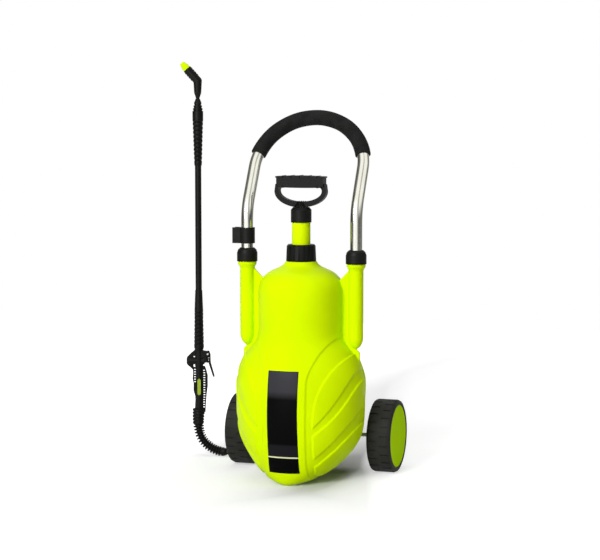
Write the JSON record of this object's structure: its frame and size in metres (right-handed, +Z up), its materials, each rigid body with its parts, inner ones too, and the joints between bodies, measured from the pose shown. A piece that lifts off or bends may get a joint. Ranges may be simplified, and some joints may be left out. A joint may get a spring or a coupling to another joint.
{
  "type": "wheeled sprayer cart",
  "caption": "Pressure sprayer tank on two wheels, with a hand pump, telescopic tube handle with a foam grip, rear hose and a trigger lance that stands beside it.",
  "frame": {"origin": "floor point under the pump's axis, on the tank's flat foot", "axes": "+Z up along the pump; the front of the tank faces -Y; +X is to the viewer's right, along the axle"},
  "size_m": [0.5015, 0.4178, 0.8575],
  "materials": {
    "tank_lime": "smooth blow-moulded polyethylene, fluorescent yellow-green",
    "pump_lime": "smooth moulded plastic, fluorescent yellow-green",
    "disc_lime": "smooth moulded plastic, darker green",
    "black_plastic": "fine matte moulded texture",
    "tyre_black": "matte hard polymer tread",
    "steel_tube": "polished tube",
    "steel_small": "plain bright wire and pins",
    "foam_black": "soft closed-cell foam",
    "hose_black": "smooth flexible hose",
    "seal_rubber": "moulded sealing rubber",
    "badge_lime": "smooth inlaid plastic"
  },
  "bodies": {
    "cart": {"tank": "tank_lime", "axle": "steel_small", "wheel_washers": "steel_small", "axle_clips": "steel_small", "collets": "black_plastic", "relief_body": "black_plastic", "relief_spring": "steel_small", "outlet_elbow": "black_plastic", "outlet_nut": "black_plastic", "outlet_seal": "seal_rubber", "hose_nut": "black_plastic", "dip_tube": "black_plastic", "suction_strainer": "black_plastic", "hose_lead": "hose_black", "hose_coil": "hose_black", "hose_tail": "hose_black", "strain_relief": "black_plastic", "grip_frame": "black_plastic", "grip_badge": "badge_lime", "valve_body": "black_plastic", "valve_cap": "black_plastic", "valve_spring": "steel_small", "trigger_pin": "steel_small", "lance_sleeve": "black_plastic", "lance_tube": "black_plastic", "lance_head": "black_plastic"},
    "wheel_left": {"tyre_left": "tyre_black", "wheel_hub_left": "black_plastic", "hubcap_left": "disc_lime"},
    "wheel_right": {"tyre_right": "tyre_black", "wheel_hub_right": "black_plastic", "hubcap_right": "disc_lime"},
    "transport_handle": {"handle_tube": "steel_tube", "foam_grip": "foam_black", "tube_plugs": "black_plastic", "lance_clip": "black_plastic"},
    "collar_left": {"collar_left": "black_plastic"},
    "collar_right": {"collar_right": "black_plastic"},
    "pump_unit": {"pump_barrel": "pump_lime", "pump_cap": "black_plastic", "rod_bush": "black_plastic", "neck_gasket": "seal_rubber", "valve_seat": "black_plastic", "check_valve": "seal_rubber"},
    "pump_nut": {"pump_nut": "black_plastic"},
    "pump_piston": {"piston": "black_plastic", "piston_seal": "seal_rubber"},
    "pump_handle": {"pump_rod": "steel_small", "pump_bow": "black_plastic", "pump_grip": "black_plastic"},
    "relief_knob": {"relief_knob": "black_plastic"},
    "trigger": {"trigger": "black_plastic"},
    "valve_spindle": {"valve_spindle": "steel_small"},
    "nozzle_elbow": {"nozzle_elbow": "black_plastic", "swirl_insert": "black_plastic"},
    "nozzle_tip": {"nozzle_tip": "badge_lime"}
  },
  "joints": [
    {"name": "wheel_left_spin", "type": "hinge", "parent": "cart", "child": "wheel_left", "pos_m": [-0.15, 0.1033, 0.076], "axis": [1, 0, 0], "continuous": true},
    {"name": "wheel_right_spin", "type": "hinge", "parent": "cart", "child": "wheel_right", "pos_m": [0.15, 0.1033, 0.076], "axis": [1, 0, 0], "continuous": true},
    {"name": "handle_slide", "type": "slide", "parent": "cart", "child": "transport_handle", "axis": [0, 0, 1], "range_m": [0, 0.11]},
    {"name": "collar_left_turn", "type": "hinge", "parent": "cart", "child": "collar_left", "pos_m": [-0.117, 0, 0.458], "axis": [0, 0, 1], "range_deg": [0, 90]},
    {"name": "collar_right_turn", "type": "hinge", "parent": "cart", "child": "collar_right", "pos_m": [0.117, 0, 0.458], "axis": [0, 0, 1], "range_deg": [0, 90]},
    {"name": "pump_lift", "type": "slide", "parent": "cart", "child": "pump_unit", "axis": [0, 0, 1], "range_m": [0, 0.32]},
    {"name": "pump_nut_turn", "type": "hinge", "parent": "pump_unit", "child": "pump_nut", "pos_m": [0, 0, 0.464], "axis": [0, 0, 1], "continuous": true},
    {"name": "pump_stroke", "type": "slide", "parent": "pump_unit", "child": "pump_piston", "axis": [0, 0, 1], "range_m": [0, 0.28]},
    {"name": "pump_handle_turn", "type": "hinge", "parent": "pump_piston", "child": "pump_handle", "pos_m": [0, 0, 0.38], "axis": [0, 0, 1], "continuous": true},
    {"name": "relief_pull", "type": "slide", "parent": "cart", "child": "relief_knob", "axis": [0, 0, 1], "range_m": [0, 0.004], "stiffness_N_per_m": 900, "springref_m": -0.003, "deforming": ["relief_spring"]},
    {"name": "trigger_pull", "type": "hinge", "parent": "cart", "child": "trigger", "pos_m": [-0.26723, 0.16387, 0.223], "axis": [-0.309, 0.9511, 0], "range_deg": [0, 10], "stiffness_Nm_per_rad": 0.6, "springref_deg": -11.46, "deforming": ["valve_spring"]},
    {"name": "spindle_slide", "type": "slide", "parent": "cart", "child": "valve_spindle", "axis": [-0.9511, -0.309, 0], "range_m": [0, 0.0032]},
    {"name": "nozzle_swivel", "type": "hinge", "parent": "cart", "child": "nozzle_elbow", "pos_m": [-0.2853, 0.158, 0.79], "axis": [0, 0, 1], "continuous": true},
    {"name": "nozzle_adjust", "type": "hinge", "parent": "nozzle_elbow", "child": "nozzle_tip", "pos_m": [-0.30713, 0.15091, 0.84249], "axis": [-0.6364, -0.2068, 0.7431], "range_deg": [0, 270]}
  ],
  "couplings": [
    {"joint": "spindle_slide", "follows": "trigger_pull", "m_per_rad": 0.0175}
  ]
}
